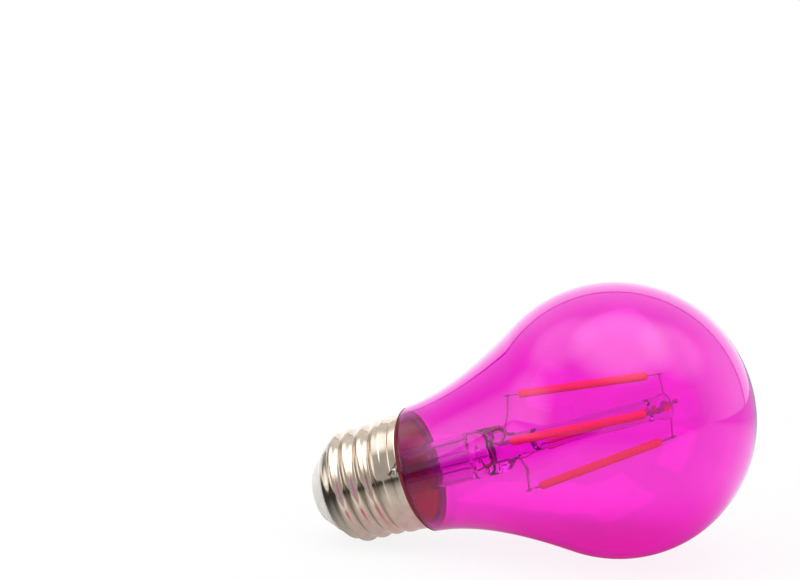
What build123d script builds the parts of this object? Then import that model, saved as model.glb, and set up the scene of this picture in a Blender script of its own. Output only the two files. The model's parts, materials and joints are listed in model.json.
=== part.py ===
# LED filament bulb with a pear-shaped coloured glass and an E26 screw cap, lying on its side.
#
# Millimetres. The row frame has +Z up and the floor at Z = 0. The bulb's own frame, BULB, has
# its origin at the cap's centre contact and its z along the bulb towards the globe. Its x is
# the side that lies uppermost and its y the side that lies nearest the viewer. "Height" is a
# distance along the bulb from the contact, and "radius" a distance from the bulb's axis.

import os
from math import asin, atan2, cos, degrees, hypot, pi, radians, sin, sqrt, tan

from build123d import *

os.makedirs("parts", exist_ok=True)

# Glass envelope
GLOBE_R = 30.0
GLOBE_HEIGHT = 72.0          # of the globe's centre
GLOBE_WRAP = 30.4            # degrees that the round globe goes on past its widest ring
NECK_R = 14.5
NECK_HEIGHT = 26.9
NECK_FLARE = 0.085           # how fast the neck opens at its foot, radius over height
SHOULDER_R = 1.8             # rounded foot of the neck, just above the cap's rim
SEAL_R = 11.2                # end of the glass inside the cap
SEAL_HEIGHT = 18.2
GLASS_WALL = 0.7

# Screw cap: E26, 7 turns to the inch, right-handed
PITCH = 25.4 / 7
CREST_R = 13.05
THREAD_DEPTH = 1.05
CREST_HEIGHT = 18.8          # of the last crest on the uppermost side
SHEET = 0.3
SKIRT_R = 13.3
BAND_R = 13.2  # the turned band on the skirt
BAND = (21.0, 23.1)  # heights of its ends
RIM_HEIGHT = 24.9
MOUTH_R = 9.65               # small end of the shell, round the insulator
MOUTH_HEIGHT = 4.5
CONE_HEIGHT = 9.2            # where the cone of the small end meets the crest radius
THREAD_IN = (5.6, 8.6)       # the groove grows from nothing to full depth between these
THREAD_OUT = (17.6, 20.6)    # and fades out again between these
RING_POINTS = 24
SHELL_STEPS = 40
NOTCH = (0.6, 0.5)           # width and depth of the wire's notch in the rim
NOTCH_ANGLE = 80

# Insulator and centre contact
CONTACT_R = 4.8
CONTACT_FLAT_R = 4.0
CLINCH_R = 2.3
RIVET_R = 1.5
INSULATOR_R = 6.3            # of its flat end
INSULATOR_HEIGHT = 0.8       # of that end
FLANGE_R = 10.4
FLANGE_HEIGHT = 6.4          # of its face inside the cap

# Stem: flare, tube, pinch, rod and button are one piece of clear glass
TUBE_R = 5.4
TUBE_WALL = 0.8
FLARE_R = 11.1
FLARE_BEND = 5.0
PINCH_HEIGHT = 40.4
PINCH_SECTIONS = [                # height, half width and half thickness
    (PINCH_HEIGHT, TUBE_R, TUBE_R),
    (43.9, 5.4, 3.0),
    (46.9, 5.2, 2.8),
    (48.6, 2.9, 2.7),
]
ROD_R = 2.5
BUTTON_R = 2.9
BUTTON_HEIGHT = 83.2
BUTTON_RISE = 1.9
CROWN_R = 2.4                # where the button's side turns over into its top
EXHAUST_R = 1.6
EXHAUST_BORE = 0.9
EXHAUST_TIP = 11.4
BLOW_HOLE = (42.3, 0.8)      # height and radius

# Filaments: angle from the uppermost side and height of the lower and of the upper weld
LOWER_WELD_R = 11.0
UPPER_WELD_R = 7.0
FILAMENTS = {
    "a": ((-4, 50.2), (-6, 83.8)),
    "b": ((79, 48.8), (90, 82.6)),
    "c": ((190, 48.6), (188, 82.7)),
    "d": ((252, 50.6), (268, 84.4)),
}
BODY_R = 0.95
LOWER_BARE = 2.1             # bare strip between the lower weld and the coated body
UPPER_BARE = 2.4
STRIP_WIDTH = 0.9
STRIP_THICK = 0.25
TAB = 0.7                    # strip that reaches past a weld
WIRE_R = 0.25
LEAD_R = 0.3

# Driver inside the cap
BOARD_R = 11.0
BOARD_THICK = 1.0
BOARD_HEIGHT = 13.2
BOARD_HOLE_R = 2.2
SLEEVE_R = 11.4
SLEEVE_SPAN = (8.2, 16.4)

# The bulb lies on its globe and on the lowest crest of its thread, which fixes its tilt.
REST_HEIGHT = CREST_HEIGHT - 2.5 * PITCH
reach = GLOBE_HEIGHT - REST_HEIGHT
TILT = degrees(asin(GLOBE_R / hypot(reach, CREST_R)) - atan2(CREST_R, reach))
AXIS = Vector(cos(radians(TILT)), 0, sin(radians(TILT)))
UPPER_SIDE = Vector(-sin(radians(TILT)), 0, cos(radians(TILT)))
CONTACT_OVERHANG = 1.13      # how far the tilted contact reaches past the axis's end
tip_x = (CONTACT_OVERHANG - GLOBE_HEIGHT * AXIS.X - GLOBE_R) / 2
TIP = Vector(tip_x, 0, GLOBE_R - GLOBE_HEIGHT * AXIS.Z)
BULB = Plane(origin=TIP, x_dir=UPPER_SIDE, z_dir=AXIS)
CENTRE_LINE = Axis(TIP, AXIS)
# Half sections are drawn here, with x as the radius and y as the height.
SECTION = Plane(origin=TIP, x_dir=UPPER_SIDE, z_dir=UPPER_SIDE.cross(AXIS))


def place(x, y, height):
    """A point of the bulb's frame as a point of the row frame."""
    return BULB.from_local_coords(Vector(x, y, height))


def level(height, x=0.0, y=0.0):
    """The plane across the bulb at a height, moved sideways by x and y."""
    return Plane(origin=place(x, y, height), x_dir=BULB.x_dir, z_dir=BULB.z_dir)


def around(radius, angle, height):
    """A point of the bulb's frame from its radius, its angle and its height."""
    return (radius * cos(radians(angle)), radius * sin(radians(angle)), height)


def ease(start, end, height):
    """0 below start, 1 above end and a smooth step between them."""
    t = min(1.0, max(0.0, (height - start) / (end - start)))
    return t * t * (3 - 2 * t)


def groove_depth(angle, height):
    """How far a rolled thread of equal arcs lies below its crest."""
    arc = ((PITCH / 4) ** 2 + (THREAD_DEPTH / 2) ** 2) / THREAD_DEPTH
    turn = (height - CREST_HEIGHT) / PITCH - angle / 360
    away = abs(turn - round(turn)) * PITCH
    if away < PITCH / 4:
        return arc - sqrt(arc**2 - away**2)
    return THREAD_DEPTH - arc + sqrt(arc**2 - (PITCH / 2 - away) ** 2)


def crest_radius(height):
    """The shell without its grooves: a cone, the thread's crests and the plain skirt."""
    rise = min(1.0, (height - MOUTH_HEIGHT) / (CONE_HEIGHT - MOUTH_HEIGHT))
    cone = MOUTH_R + (CREST_R - MOUTH_R) * sin(pi / 2 * rise)
    return cone + (SKIRT_R - CREST_R) * ease(*THREAD_OUT, height)


def shell_ring(height, inset):
    """The closed curve round the shell at one height, or round the sheet's inner side."""
    groove_share = ease(*THREAD_IN, height) * (1 - ease(*THREAD_OUT, height))
    points = []
    for step in range(RING_POINTS):
        angle = 360 * step / RING_POINTS
        radius = crest_radius(height) - groove_depth(angle, height) * groove_share - inset
        points.append(around(radius, angle, 0))
    shares = [step / RING_POINTS for step in range(RING_POINTS + 1)]
    return Edge.make_spline(points, periodic=True, parameters=shares)


# Screw shell: sheet metal, so the thread shows on its inner side as well
level_step = (RIM_HEIGHT - MOUTH_HEIGHT) / SHELL_STEPS
with BuildPart() as screw_shell:
    for step in range(SHELL_STEPS + 1):
        height = MOUTH_HEIGHT + level_step * step
        with BuildSketch(level(height)):
            with BuildLine():
                add(shell_ring(height, 0))
            make_face()
    loft()
    for step in range(-1, SHELL_STEPS + 2):
        height = MOUTH_HEIGHT + level_step * step
        with BuildSketch(level(height)):
            with BuildLine():
                add(shell_ring(height, SHEET))
            make_face()
    loft(mode=Mode.SUBTRACT)
    # A shallow turned band below the rim, where the shell enters the mouth of a lamp holder.
    with BuildSketch(level(BAND[0])):
        Circle(BAND_R + 1)
        Circle(BAND_R, mode=Mode.SUBTRACT)
    extrude(amount=BAND[1] - BAND[0], mode=Mode.SUBTRACT)
    # The neutral wire comes out through a notch in the rim.
    with BuildSketch(level(RIM_HEIGHT - NOTCH[1])):
        with PolarLocations(SKIRT_R, 1, start_angle=NOTCH_ANGLE):
            Rectangle(2.0, NOTCH[0])
    extrude(amount=NOTCH[1] + 0.5, mode=Mode.SUBTRACT)
screw_shell.part.label = "screw_shell"
export_step(screw_shell.part, "parts/screw_shell.step")

# Insulator: a cone that closes the small end, with a flange inside the shell's edge
with BuildPart() as insulator:
    with BuildSketch(SECTION):
        with BuildLine():
            Polyline(
                (RIVET_R, INSULATOR_HEIGHT),
                (INSULATOR_R, INSULATOR_HEIGHT),
                (INSULATOR_R + 0.45, INSULATOR_HEIGHT + 0.2),
                (MOUTH_R - 0.1, MOUTH_HEIGHT - 0.4),
                (MOUTH_R - 0.1, MOUTH_HEIGHT - 0.02),
                (MOUTH_R - SHEET - 0.15, MOUTH_HEIGHT - 0.02),
                (MOUTH_R - SHEET - 0.15, MOUTH_HEIGHT + 0.3),
                (FLANGE_R, FLANGE_HEIGHT - 0.4),
                (FLANGE_R, FLANGE_HEIGHT),
                (RIVET_R, FLANGE_HEIGHT),
                close=True,
            )
        make_face()
    revolve(axis=CENTRE_LINE)
insulator.part.label = "insulator"
export_step(insulator.part, "parts/insulator.step")

# Centre contact: a rivet with a rounded head, clinched over on the insulator's inner face
with BuildPart() as centre_contact:
    with BuildSketch(SECTION):
        with BuildLine():
            Line((0, 0), (CONTACT_FLAT_R, 0))
            ThreePointArc(
                (CONTACT_FLAT_R, 0), (CONTACT_R - 0.25, 0.3), (CONTACT_R, INSULATOR_HEIGHT)
            )
            Polyline(
                (CONTACT_R, INSULATOR_HEIGHT),
                (RIVET_R, INSULATOR_HEIGHT),
                (RIVET_R, FLANGE_HEIGHT),
                (CLINCH_R, FLANGE_HEIGHT),
                (CLINCH_R - 0.3, FLANGE_HEIGHT + 0.4),
                (0, FLANGE_HEIGHT + 0.4),
                (0, 0),
            )
        make_face()
    revolve(axis=CENTRE_LINE)
centre_contact.part.label = "centre_contact"
export_step(centre_contact.part, "parts/centre_contact.step")


def glass_curve(inset):
    """The envelope's outer line from crown to neck foot, or its inner one with an inset."""
    wrap = radians(GLOBE_WRAP)
    foot_r = (GLOBE_R - inset) * cos(wrap)
    foot_z = GLOBE_HEIGHT - (GLOBE_R - inset) * sin(wrap)
    neck_r = NECK_R - inset
    handle = (foot_z - NECK_HEIGHT) / 3
    CenterArc((0, GLOBE_HEIGHT), GLOBE_R - inset, 90, -90 - GLOBE_WRAP)
    Bezier(
        (foot_r, foot_z),
        (foot_r - handle * tan(wrap), foot_z - handle),
        (neck_r + handle * NECK_FLARE, NECK_HEIGHT + handle),
        (neck_r, NECK_HEIGHT),
    )
    CenterArc((NECK_R - SHOULDER_R, NECK_HEIGHT), SHOULDER_R - inset, 0, -90)


shoulder_r = NECK_R - SHOULDER_R
shoulder_foot = NECK_HEIGHT - SHOULDER_R

# Glass envelope: one blown shell, drawn in below the shoulder to its seal inside the cap
with BuildPart() as glass_envelope:
    with BuildSketch(SECTION):
        with BuildLine():
            glass_curve(0)
            glass_curve(GLASS_WALL)
            Line((0, GLOBE_HEIGHT + GLOBE_R), (0, GLOBE_HEIGHT + GLOBE_R - GLASS_WALL))
            Polyline(
                (shoulder_r, shoulder_foot),
                (SEAL_R, SEAL_HEIGHT),
                (SEAL_R - GLASS_WALL, SEAL_HEIGHT),
                (shoulder_r - 0.85, shoulder_foot + 0.2),
                (shoulder_r, shoulder_foot + GLASS_WALL),
            )
        make_face()
    revolve(axis=CENTRE_LINE)
glass_envelope.part.label = "glass_envelope"
export_step(glass_envelope.part, "parts/glass_envelope.step")


def wire(route, radius, bend):
    """A round wire along a route of the bulb's frame, bent at each of its points."""
    with BuildPart() as bent_wire:
        with BuildLine() as path:
            FilletPolyline(*[place(*point) for point in route], radius=bend)
        with BuildSketch(Plane(origin=path.line @ 0, z_dir=path.line % 0)):
            Circle(radius)
        sweep()
    return bent_wire.part


# Filaments: a metal strip from weld to weld, coated along its middle
strips = {}
for key, (lower, upper) in FILAMENTS.items():
    lower_weld = place(*around(LOWER_WELD_R, *lower))
    upper_weld = place(*around(UPPER_WELD_R, *upper))
    run = (upper_weld - lower_weld).normalized()
    length = (upper_weld - lower_weld).length
    outward = lower_weld - place(0, 0, lower[1])
    across = run.cross(outward).normalized()
    with BuildPart() as filament_strip:
        with BuildSketch(Plane(origin=lower_weld - run * TAB, x_dir=across, z_dir=run)):
            Rectangle(STRIP_WIDTH, STRIP_THICK)
        extrude(amount=length + 2 * TAB)
    filament_strip.part.label = f"filament_strip_{key}"
    export_step(filament_strip.part, f"parts/filament_strip_{key}.step")
    strips[key] = filament_strip.part
    with BuildPart() as led_filament:
        with BuildSketch(Plane(origin=lower_weld + run * LOWER_BARE, x_dir=across, z_dir=run)):
            Circle(BODY_R)
            Rectangle(STRIP_WIDTH, STRIP_THICK, mode=Mode.SUBTRACT)
        extrude(amount=length - LOWER_BARE - UPPER_BARE)
        fillet(led_filament.edges().filter_by(GeomType.CIRCLE), radius=0.45)
    led_filament.part.label = f"led_filament_{key}"
    export_step(led_filament.part, f"parts/led_filament_{key}.step")

# Lead wires: from the board up the tube, through the pinch and out to filaments a and c
lead_routes = {
    "a": [(3.95, 0, 12.7), (3.95, 0, 47.6), (7.1, -0.3, 49.2), around(LOWER_WELD_R, -4, 50.2)],
    "c": [(-2.4, 0, 12.7), (-2.4, 0, 46.4), (-3.3, 0, 49.3), (-6.06, -0.7, 49.7), around(LOWER_WELD_R, 190, 48.6)],
}
leads = {}
for key, route in lead_routes.items():
    bent = wire(route, LEAD_R, 0.7)
    with BuildPart() as lead_wire:
        add(bent)
        add(strips[key], mode=Mode.SUBTRACT)
    lead_wire.part.label = f"lead_wire_{key}"
    export_step(lead_wire.part, f"parts/lead_wire_{key}.step")
    leads[key] = lead_wire.part

# Branch wires: welded to the leads where those leave the pinch, they feed filaments b and d
branch_routes = {
    "b": ("a", [(4.3, 0, 47.85), (3.9, 2.6, 48.2), around(LOWER_WELD_R, 79, 48.8)]),
    "d": ("c", [(-3.05, 0, 48.6), (-3.5, -2.6, 49.6), around(LOWER_WELD_R, 252, 50.6)]),
}
branches = {}
for key, (lead_key, route) in branch_routes.items():
    bent = wire(route, WIRE_R, 0.7)
    with BuildPart() as branch_wire:
        add(bent)
        add(leads[lead_key], mode=Mode.SUBTRACT)
        add(strips[key], mode=Mode.SUBTRACT)
    branch_wire.part.label = f"branch_wire_{key}"
    export_step(branch_wire.part, f"parts/branch_wire_{key}.step")
    branches[key] = branch_wire.part

# Support wires: sealed in the button, each joins the upper ends of two filaments
support_routes = {
    "a_c": [
        around(UPPER_WELD_R, -6, 83.8), (2.9, -0.2, 83.75), (-1.9, 0, 84.0), around(UPPER_WELD_R, 188, 82.7)
    ],
    "b_d": [
        around(UPPER_WELD_R, 90, 82.6), (0, 2.6, 82.45), (0, -2.6, 82.6), around(UPPER_WELD_R, 268, 84.4)
    ],
}
supports = {}
for key, route in support_routes.items():
    bent = wire(route, WIRE_R, 0.7)
    with BuildPart() as support_wire:
        add(bent)
        add(strips[key[0]], mode=Mode.SUBTRACT)
        add(strips[key[2]], mode=Mode.SUBTRACT)
    support_wire.part.label = f"support_wire_{key}"
    export_step(support_wire.part, f"parts/support_wire_{key}.step")
    supports[key] = support_wire.part

# Stem: its flare is fused to the envelope's seal, and its pinch and button hold the wires
crown_foot = BUTTON_HEIGHT + 1.1
crown_rise = BUTTON_RISE - 1.1
crown_arc = (CROWN_R**2 + crown_rise**2) / (2 * crown_rise)
crown_angle = degrees(atan2(crown_arc - crown_rise, CROWN_R))
bend_height = SEAL_HEIGHT + FLARE_BEND
bend_r = TUBE_R + FLARE_BEND
with BuildPart() as glass_stem:
    with BuildSketch(SECTION):
        with BuildLine():
            inner_r = TUBE_R - TUBE_WALL
            dome_height = PINCH_HEIGHT - 1.0
            CenterArc((bend_r, bend_height), FLARE_BEND, 180, 90)
            Polyline(
                (bend_r, SEAL_HEIGHT),
                (FLARE_R, SEAL_HEIGHT),
                (FLARE_R, SEAL_HEIGHT - TUBE_WALL),
                (bend_r, SEAL_HEIGHT - TUBE_WALL),
            )
            CenterArc((bend_r, bend_height), FLARE_BEND + TUBE_WALL, 270, -90)
            Line((inner_r, bend_height), (inner_r, dome_height - 2))
            CenterArc((inner_r - 2, dome_height - 2), 2, 0, 90)
            Polyline(
                (inner_r - 2, dome_height),
                (0, dome_height),
                (0, PINCH_HEIGHT),
                (TUBE_R, PINCH_HEIGHT),
                (TUBE_R, bend_height),
            )
        make_face()
    revolve(axis=CENTRE_LINE)
    for height, half_width, half_thick in PINCH_SECTIONS:
        with BuildSketch(level(height)):
            Ellipse(half_width, half_thick)
    loft()
    with BuildSketch(SECTION):
        with BuildLine():
            Polyline(
                (0, BUTTON_HEIGHT + BUTTON_RISE),
                (0, PINCH_SECTIONS[1][0]),
                (ROD_R, PINCH_SECTIONS[1][0]),
                (ROD_R, BUTTON_HEIGHT - 1.5),
            )
            ThreePointArc(
                (ROD_R, BUTTON_HEIGHT - 1.5), (BUTTON_R, BUTTON_HEIGHT), (CROWN_R, crown_foot)
            )
            CenterArc((0, crown_foot + crown_rise - crown_arc), crown_arc, crown_angle, 90 - crown_angle)
        make_face()
    revolve(axis=CENTRE_LINE)
    # The bulb was emptied and filled through this bore and its side opening.
    with BuildSketch(level(dome_height - 1)):
        Circle(EXHAUST_BORE)
    extrude(amount=BLOW_HOLE[0] - dome_height + 1, mode=Mode.SUBTRACT)
    with BuildSketch(Plane(origin=place(0, 0, BLOW_HOLE[0]), x_dir=AXIS, z_dir=AXIS.cross(UPPER_SIDE))):
        Circle(BLOW_HOLE[1])
    extrude(amount=TUBE_R + 1, mode=Mode.SUBTRACT)
    for sealed_wire in (*leads.values(), *branches.values(), *supports.values()):
        add(sealed_wire, mode=Mode.SUBTRACT)
glass_stem.part.label = "glass_stem"
export_step(glass_stem.part, "parts/glass_stem.step")

# Exhaust tube: hangs from the pinch inside the stem, melted shut at its tip
with BuildPart() as exhaust_tube:
    with BuildSketch(SECTION):
        with BuildLine():
            CenterArc((0, EXHAUST_TIP + EXHAUST_R), EXHAUST_R, -90, 90)
            Polyline(
                (EXHAUST_R, EXHAUST_TIP + EXHAUST_R),
                (EXHAUST_R, dome_height),
                (EXHAUST_BORE, dome_height),
                (EXHAUST_BORE, EXHAUST_TIP + 2.4),
                (0, EXHAUST_TIP + 1.6),
                (0, EXHAUST_TIP),
            )
        make_face()
    revolve(axis=CENTRE_LINE)
exhaust_tube.part.label = "exhaust_tube"
export_step(exhaust_tube.part, "parts/exhaust_tube.step")


def beside(radius, height):
    """A point on the neutral wire's side of the bulb."""
    return around(radius, NOTCH_ANGLE, height)


# Neutral wire: from the board up between the glass and the shell, out through the notch
with BuildPart() as neutral_wire:
    with BuildLine() as neutral_path:
        FilletPolyline(
            *[
                place(*beside(radius, height))
                for radius, height in (
                    (9.7, 12.7),
                    (9.7, 16.95),
                    (11.44, 16.95),
                    (11.44, 18.0),
                    (11.66, 19.2),
                    (12.78, 24.62),
                    (13.6, 24.62),
                )
            ],
            radius=0.25,
        )
    with BuildSketch(Plane(origin=neutral_path.line @ 0, z_dir=neutral_path.line % 0)):
        Circle(0.18)
    sweep()
neutral_wire.part.label = "neutral_wire"
export_step(neutral_wire.part, "parts/neutral_wire.step")

# Basing cement: fills the gap between glass and shell, with a small bead above the rim
with BuildPart() as basing_cement:
    with BuildSketch(SECTION):
        with BuildLine():
            Polyline(
                (SEAL_R - 0.4, SEAL_HEIGHT),
                (CREST_R - THREAD_DEPTH - SHEET - 0.2, SEAL_HEIGHT),
                (CREST_R - THREAD_DEPTH - SHEET - 0.2, 19.0),
                (SKIRT_R - SHEET - 0.05, 21.6),
                (SKIRT_R - SHEET - 0.05, RIM_HEIGHT),
                (SKIRT_R - 0.04, RIM_HEIGHT),
                (SKIRT_R + 0.12, RIM_HEIGHT + 0.55),
                (SEAL_R - 0.4, RIM_HEIGHT + 0.55),
                close=True,
            )
        make_face()
        with BuildLine():
            glass_curve(0)
            Polyline(
                (shoulder_r, shoulder_foot),
                (SEAL_R, SEAL_HEIGHT),
                (0, SEAL_HEIGHT),
                (0, GLOBE_HEIGHT + GLOBE_R),
            )
        make_face(mode=Mode.SUBTRACT)
    revolve(axis=CENTRE_LINE)
    add(neutral_wire.part, mode=Mode.SUBTRACT)
basing_cement.part.label = "basing_cement"
export_step(basing_cement.part, "parts/basing_cement.step")

# Side solder: a flattened drop on the skirt, over the end of the neutral wire
with BuildPart() as side_solder:
    solder_foot = place(*beside(SKIRT_R + 0.01, 24.05))
    with BuildSketch(Plane(origin=solder_foot, x_dir=AXIS, z_dir=solder_foot - place(0, 0, 24.05))):
        Circle(0.8)
    extrude(amount=0.5)
    fillet(side_solder.faces().sort_by(Axis(solder_foot, solder_foot - TIP))[-1].edges(), radius=0.35)
    add(neutral_wire.part, mode=Mode.SUBTRACT)
side_solder.part.label = "side_solder"
export_step(side_solder.part, "parts/side_solder.step")

# Driver board: a round board on the sleeve's inner wall, with a hole for the exhaust tube
board_x = -5.0
with BuildPart() as driver_board:
    with BuildSketch(level(BOARD_HEIGHT)):
        Circle(BOARD_R)
        Circle(BOARD_HOLE_R, mode=Mode.SUBTRACT)
        with Locations((3.95, 0), (-2.7, 0)):
            Circle(LEAD_R + 0.05, mode=Mode.SUBTRACT)
        with PolarLocations(9.7, 1, start_angle=NOTCH_ANGLE):
            Circle(0.23, mode=Mode.SUBTRACT)
        with Locations((4.4, 6.0), (6.6, 6.0), (-4.5, -6.6)):
            Circle(0.35, mode=Mode.SUBTRACT)
    extrude(amount=BOARD_THICK)
    add(leads["c"], mode=Mode.SUBTRACT)
driver_board.part.label = "driver_board"
export_step(driver_board.part, "parts/driver_board.step")

# Sleeve: an insulating tube between the driver and the shell
with BuildPart() as driver_sleeve:
    with BuildSketch(level(SLEEVE_SPAN[0])):
        Circle(SLEEVE_R)
        Circle(BOARD_R, mode=Mode.SUBTRACT)
    extrude(amount=SLEEVE_SPAN[1] - SLEEVE_SPAN[0])
driver_sleeve.part.label = "driver_sleeve"
export_step(driver_sleeve.part, "parts/driver_sleeve.step")

# Smoothing capacitor: lies under the board, its leads bent up through it
with BuildPart() as smoothing_capacitor:
    with BuildSketch(
        Plane(origin=place(5.5, -4.5, 10.6), x_dir=UPPER_SIDE, z_dir=AXIS.cross(UPPER_SIDE))
    ):
        Circle(2.5)
    extrude(amount=9)
    fillet(smoothing_capacitor.edges(), radius=0.4)
    for lead_x in (4.4, 6.6):
        with BuildLine() as pin_path:
            FilletPolyline(
                place(lead_x, 4.3, 10.6), place(lead_x, 6.0, 10.6), place(lead_x, 6.0, 14.6), radius=0.6
            )
        with BuildSketch(Plane(origin=pin_path.line @ 0, z_dir=pin_path.line % 0)):
            Circle(0.25)
        sweep()
smoothing_capacitor.part.label = "smoothing_capacitor"
export_step(smoothing_capacitor.part, "parts/smoothing_capacitor.step")

# Bridge rectifier and driver chip: moulded packages with bent legs, under the board
for name, y, width, depth, high, legs, leg_pitch in (
    ("bridge_rectifier", 3.9, 4.7, 3.9, 2.2, 2, 2.54),
    ("driver_chip", -3.2, 4.9, 3.9, 1.4, 4, 1.27),
):
    with BuildPart() as package:
        with BuildSketch(level(BOARD_HEIGHT - 0.15, board_x, y)):
            Rectangle(width, depth)
        extrude(amount=-high, taper=5)
        with BuildSketch(level(BOARD_HEIGHT, board_x, y)):
            with GridLocations(leg_pitch, depth + 1.0, legs, 2):
                Rectangle(0.4, 1.0)
        extrude(amount=-0.2)
        with BuildSketch(level(BOARD_HEIGHT, board_x, y)):
            with GridLocations(leg_pitch, depth + 0.1, legs, 2):
                Rectangle(0.4, 0.4)
        extrude(amount=-0.8)
    package.part.label = name
    export_step(package.part, f"parts/{name}.step")

# Fusible resistor: joins the board to the centre contact's rivet
with BuildPart() as fusible_resistor:
    with BuildSketch(
        Plane(origin=place(-4.5, -3.1, 8.4), x_dir=UPPER_SIDE, z_dir=AXIS.cross(UPPER_SIDE))
    ):
        Circle(1.15)
    extrude(amount=6.2)
    fillet(fusible_resistor.edges(), radius=0.4)
    for pin_route in (
        [(-4.5, 3.0, 8.4), (-4.5, 4.6, 8.4), (-0.9, 2.6, 8.1), (0, 0, 6.7)],
        [(-4.5, -3.0, 8.4), (-4.5, -6.6, 8.4), (-4.5, -6.6, 14.6)],
    ):
        with BuildLine() as pin_path:
            FilletPolyline(*[place(*point) for point in pin_route], radius=0.5)
        with BuildSketch(Plane(origin=pin_path.line @ 0, z_dir=pin_path.line % 0)):
            Circle(0.25)
        sweep()
    add(centre_contact.part, mode=Mode.SUBTRACT)
fusible_resistor.part.label = "fusible_resistor"
export_step(fusible_resistor.part, "parts/fusible_resistor.step")

# Small parts on the board's upper face: a ceramic capacitor and two chip resistors
for name, x, y, size in (
    ("ceramic_capacitor", -7.4, 1.0, (2.4, 3.2, 1.6)),
    ("chip_resistor_a", 7.2, -3.2, (1.6, 3.2, 0.55)),
    ("chip_resistor_b", 7.2, 2.0, (1.6, 3.2, 0.55)),
):
    with BuildPart() as chip:
        with BuildSketch(level(BOARD_HEIGHT + BOARD_THICK, x, y)):
            Rectangle(size[0], size[1])
        extrude(amount=size[2])
        chamfer(chip.edges(), length=0.08)
    chip.part.label = name
    export_step(chip.part, f"parts/{name}.step")
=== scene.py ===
"""LED filament bulb with a magenta glass and a screw cap, lying on a white floor."""

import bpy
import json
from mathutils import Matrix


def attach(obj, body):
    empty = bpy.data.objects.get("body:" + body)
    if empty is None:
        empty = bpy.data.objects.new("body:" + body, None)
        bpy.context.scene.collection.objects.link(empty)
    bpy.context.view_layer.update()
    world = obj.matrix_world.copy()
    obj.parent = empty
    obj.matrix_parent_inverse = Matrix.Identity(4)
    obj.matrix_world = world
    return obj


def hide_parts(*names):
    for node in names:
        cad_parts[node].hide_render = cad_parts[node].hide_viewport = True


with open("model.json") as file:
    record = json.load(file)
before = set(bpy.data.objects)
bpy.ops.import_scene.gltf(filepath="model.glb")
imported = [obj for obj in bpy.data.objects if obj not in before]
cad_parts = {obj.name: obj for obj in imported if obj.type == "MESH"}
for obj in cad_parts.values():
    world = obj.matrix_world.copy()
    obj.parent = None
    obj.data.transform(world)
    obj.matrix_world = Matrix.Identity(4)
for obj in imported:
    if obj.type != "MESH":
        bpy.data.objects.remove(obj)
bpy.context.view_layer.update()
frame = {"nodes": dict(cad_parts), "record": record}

import json
from math import atan2, cos, hypot, pi, radians, sin, sqrt, tan

import bmesh
import bpy
from bpy.props import FloatProperty, FloatVectorProperty, PointerProperty
from mathutils import Matrix, Vector, noise

bl_info = {
    "name": "Filament bulb",
    "version": (1, 0, 0),
    "blender": (4, 5, 0),
    "location": "View3D > Sidebar > Bulb",
    "description": "Builds a lying LED filament bulb round its packed solids",
    "category": "Add Mesh",
}

MM = 0.001
TINY = 1e-6                  # millimetres that count as none
SEGMENTS = 192               # round the bulb's axis
STEM_SEGMENTS = 96
SHELL_SEGMENTS = 180

# The bulb's own frame: its height runs from the contact towards the globe, its x is the side
# that lies uppermost and its y the side nearest the viewer.
contact_mount = next(m for m in frame["record"]["mounts"] if m["name"] == "centre_contact_face")
TIP = Vector(contact_mount["pos_m"])
AXIS = -Vector(contact_mount["axis"]).normalized()
UPPER = Vector((-AXIS.z, 0, AXIS.x))
NEAR = AXIS.cross(UPPER)
BULB = Matrix((UPPER, NEAR, AXIS)).transposed().to_4x4()
BULB.translation = TIP


def linear(hex_colour):
    """An sRGB hex colour as linear red, green, blue and alpha."""
    parts = [int(hex_colour[i : i + 2], 16) / 255 for i in (1, 3, 5)]
    return (*(p / 12.92 if p <= 0.04045 else ((p + 0.055) / 1.055) ** 2.4 for p in parts), 1.0)


def tinted(colour, factor):
    """A linear colour made darker or paler."""
    return (*(min(1.0, c * factor) for c in colour[:3]), 1.0)


WHITE = linear("#FFFFFF")


# ---- sizes and colours


def length(name, description, millimetres):
    """A length that a user may change."""
    return FloatProperty(
        name=name, description=description, default=millimetres * MM, unit="LENGTH"
    )


def tint(name, description, hex_colour):
    """A colour that a user may change."""
    return FloatVectorProperty(
        name=name, description=description, default=linear(hex_colour), subtype="COLOR", size=4
    )


class BulbSizes(bpy.types.PropertyGroup):
    """Sizes of the bulb's pieces, in metres."""

    globe_radius: length("Globe radius", "Radius of the round part of the glass", 30)
    neck_radius: length("Neck radius", "Radius of the glass at the foot of its neck", 14.5)
    glass_wall: length("Glass wall", "Thickness of the envelope", 0.7)
    thread_pitch: length("Thread pitch", "Rise of the cap's thread in one turn", 25.4 / 7)
    thread_depth: length("Thread depth", "Depth of the cap's thread", 1.05)
    filament_radius: length("Filament radius", "Radius of a filament's coating", 0.95)
    diode_pitch: length("Diode pitch", "Spacing of the diodes along a filament", 1.15)


class BulbColours(bpy.types.PropertyGroup):
    """Colours of the bulb's materials."""

    glass: tint("Glass", "Tint of one wall of the envelope", "#F93CE4")
    metal: tint("Cap", "Nickel plating of the screw shell", "#D2C3B2")
    phosphor: tint("Phosphor", "Coating of the filaments", "#FBA262")


def sizes():
    return bpy.context.scene.bulb_sizes


def colours():
    return bpy.context.scene.bulb_colours


# ---- nodes and materials


def add(tree, kind, inputs=None, **settings):
    """Adds a node with its settings, and gives each input a value or a link from a node."""
    node = tree.nodes.new(kind)
    for name, value in settings.items():
        setattr(node, name, value)
    for socket, given in (inputs or {}).items():
        if isinstance(given, bpy.types.Node):
            given = given.outputs[0]
        if isinstance(given, bpy.types.NodeSocket):
            tree.links.new(given, node.inputs[socket])
        else:
            node.inputs[socket].default_value = given
    return node


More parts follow.
